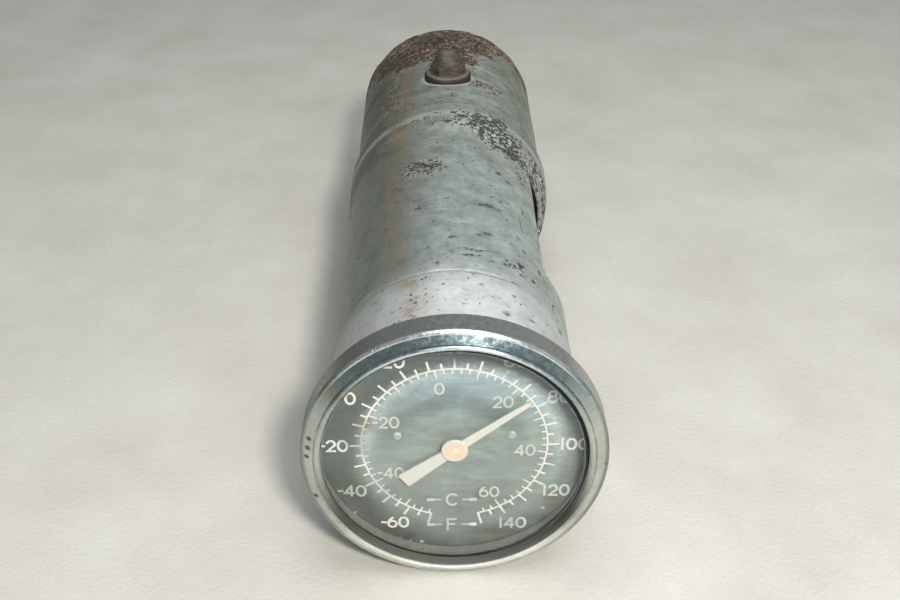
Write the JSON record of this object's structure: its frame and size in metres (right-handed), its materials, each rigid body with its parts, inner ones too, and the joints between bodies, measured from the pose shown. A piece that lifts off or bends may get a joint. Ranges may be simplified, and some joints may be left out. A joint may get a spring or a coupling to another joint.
{
  "type": "outside air temperature gauge",
  "caption": "Round dial thermometer in the front end of a sheet-metal ventilator tube, with a side window, a stem down the axis and a stop stud at the rear.",
  "frame": {"origin": "on the tube's axis, in the plane of the bezel's back edge, where the sliding tube begins", "axes": "+Y down the tube, away from the dial; +Z towards the top of the dial; +X to the viewer's right, the window's side"},
  "size_m": [0.0636, 0.1836, 0.0665],
  "materials": {
    "chrome_rim": "worn chrome plate on drawn brass",
    "glass": "flat glass, hazed by age",
    "rubber": "hardened black rubber",
    "black_enamel": "matt black enamel",
    "dial_paint": "faded black dial enamel with cream printing",
    "nickel_screw": "nickel plate",
    "brass": "turned brass, tarnished",
    "cream_paint": "aged cream paint",
    "steel": "bright drawn steel",
    "plated_case": "dull plated drawn brass",
    "bimetal": "rolled bimetal strip",
    "silver_paint": "worn silver paint over sheet steel, pitted",
    "rusty_silver_paint": "worn silver paint with heavy rust at the open end",
    "rusty_steel": "brown rusted steel"
  },
  "bodies": {
    "root": {"bezel": "chrome_rim", "glass": "glass", "glass_gasket": "rubber", "spacer_ring": "black_enamel", "dial_plate": "dial_paint", "dial_screws": "nickel_screw", "dial_pillars": "brass", "gauge_case": "plated_case", "neck_stud": "brass", "front_bush": "brass", "sealing_washer": "rubber", "neck_lock_washer": "steel", "neck_nut": "brass", "stem_tube": "steel", "shaft_guide": "brass", "bimetal_helix": "bimetal", "stem_plug": "brass", "front_collar": "silver_paint", "front_tube": "silver_paint", "rear_tube": "rusty_silver_paint", "stop_screw": "rusty_steel", "stop_lock_washer": "rusty_steel", "cup_washer": "rusty_steel", "acorn_nut": "rusty_steel"},
    "pointer": {"pointer": "cream_paint", "pointer_hub": "cream_paint", "pointer_shaft": "steel", "helix_collet": "brass"}
  },
  "joints": [
    {"name": "pointer_spin", "type": "hinge", "parent": "root", "child": "pointer", "pos_m": [0, 0, 0], "axis": [0, -1, 0], "range_deg": [-112.5, 217.5], "stiffness_Nm_per_rad": 0.0004}
  ]
}
